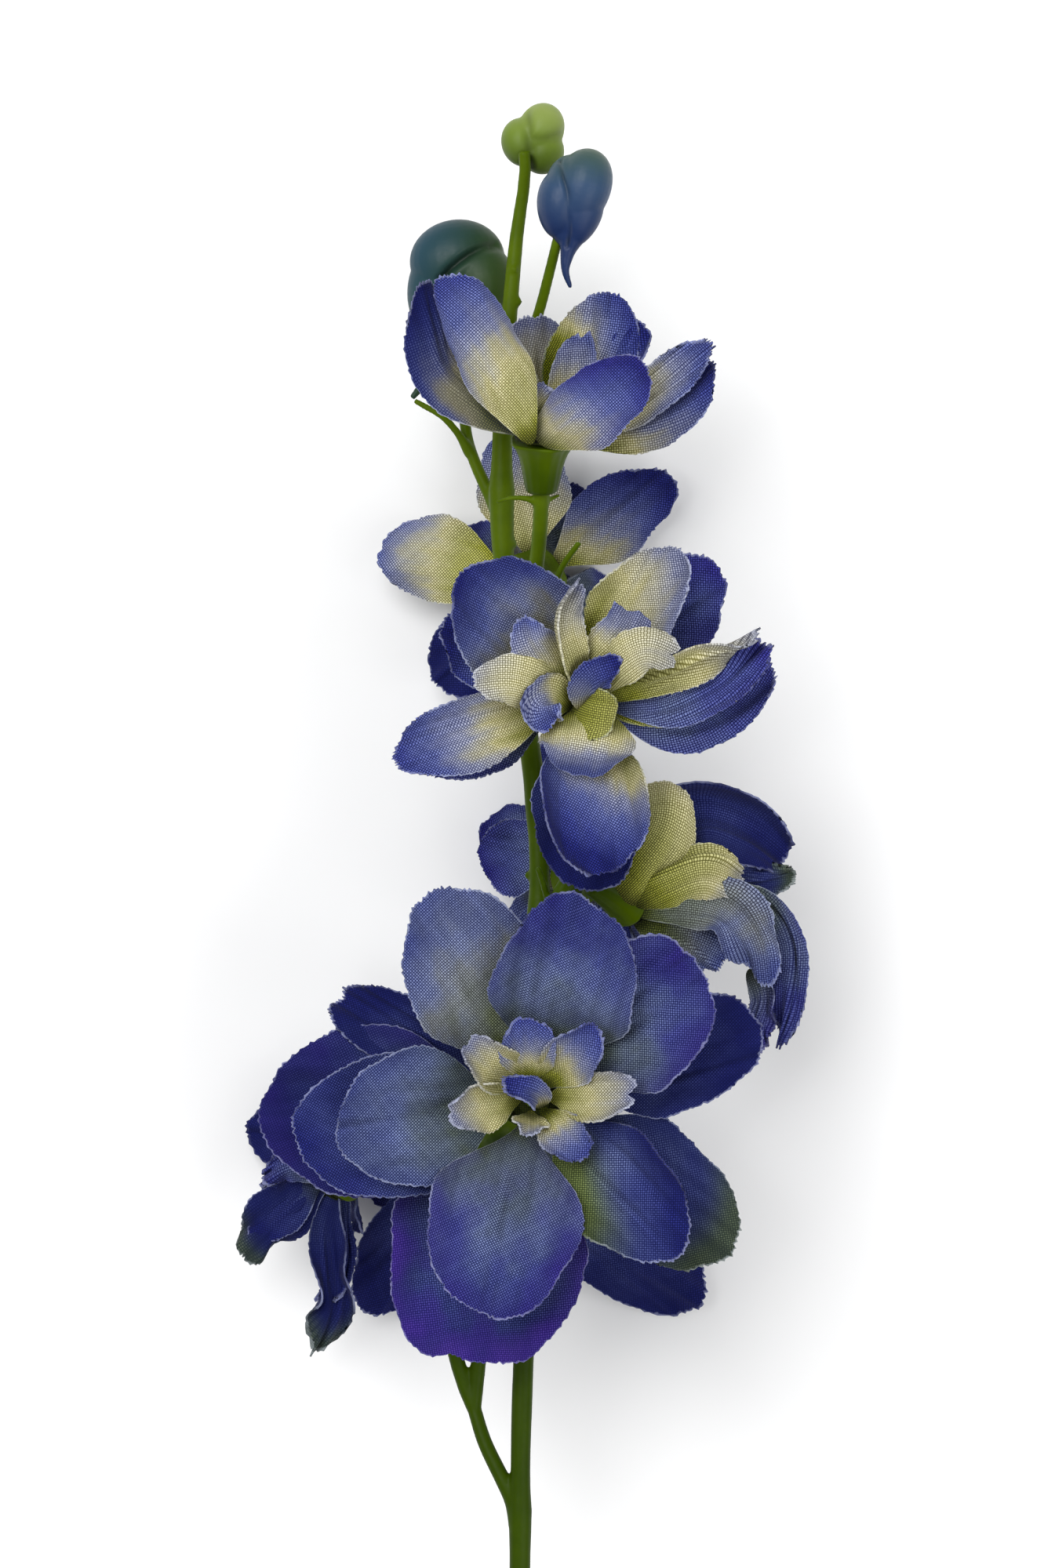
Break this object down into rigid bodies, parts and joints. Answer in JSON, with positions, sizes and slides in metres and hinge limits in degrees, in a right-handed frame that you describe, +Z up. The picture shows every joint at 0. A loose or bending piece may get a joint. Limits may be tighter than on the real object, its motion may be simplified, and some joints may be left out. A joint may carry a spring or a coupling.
{
  "type": "artificial delphinium flower spike",
  "caption": "Artificial flower spike with a moulded wire-cored stem, lobed calyces, smooth buds and layered rosettes of printed woven petals, lying on a surface.",
  "frame": {"origin": "middle of the bounding box in X and Y, on the surface that the spike lies on", "axes": "+Y runs along the stem towards the tip with the buds, +Z is up from the surface, +X is across the spike to the right when it is seen from above with the tip up"},
  "size_m": [0.0874, 0.2834, 0.0721],
  "materials": {
    "stem": "satin moulded plastic, leaf green",
    "calyx": "satin moulded plastic, leaf green",
    "bud_green": "soft gloss, olive green",
    "bud_blue": "soft gloss, slate blue",
    "bud_teal": "soft gloss, teal green",
    "petal_deep": "printed plain weave, ultramarine",
    "petal_blue": "printed plain weave, blue fading to cream and yellow-green",
    "petal_cream": "printed plain weave, cream with blue tips",
    "steel": "drawn wire"
  },
  "bodies": {
    "root": {"top_calyx": "calyx", "top_outer_petals": "petal_deep", "top_inner_petals": "petal_blue", "top_centre_petals": "petal_cream", "upper_back_calyx": "calyx", "upper_back_outer_petals": "petal_deep", "upper_back_inner_petals": "petal_blue", "upper_back_centre_petals": "petal_cream", "middle_calyx": "calyx", "middle_outer_petals": "petal_deep", "middle_inner_petals": "petal_blue", "middle_centre_petals": "petal_cream", "right_calyx": "calyx", "right_outer_petals": "petal_deep", "right_inner_petals": "petal_blue", "right_centre_petals": "petal_cream", "middle_back_calyx": "calyx", "middle_back_outer_petals": "petal_deep", "middle_back_inner_petals": "petal_blue", "middle_back_centre_petals": "petal_cream", "large_calyx": "calyx", "large_outer_petals": "petal_deep", "large_inner_petals": "petal_blue", "large_centre_petals": "petal_cream", "left_back_calyx": "calyx", "left_back_outer_petals": "petal_deep", "left_back_inner_petals": "petal_blue", "left_back_centre_petals": "petal_cream", "low_back_calyx": "calyx", "low_back_outer_petals": "petal_deep", "low_back_inner_petals": "petal_blue", "low_back_centre_petals": "petal_cream", "top_bud": "bud_green", "right_bud": "bud_blue", "left_bud": "bud_teal", "stem": "stem", "wire_core": "steel"}
  },
  "joints": []
}
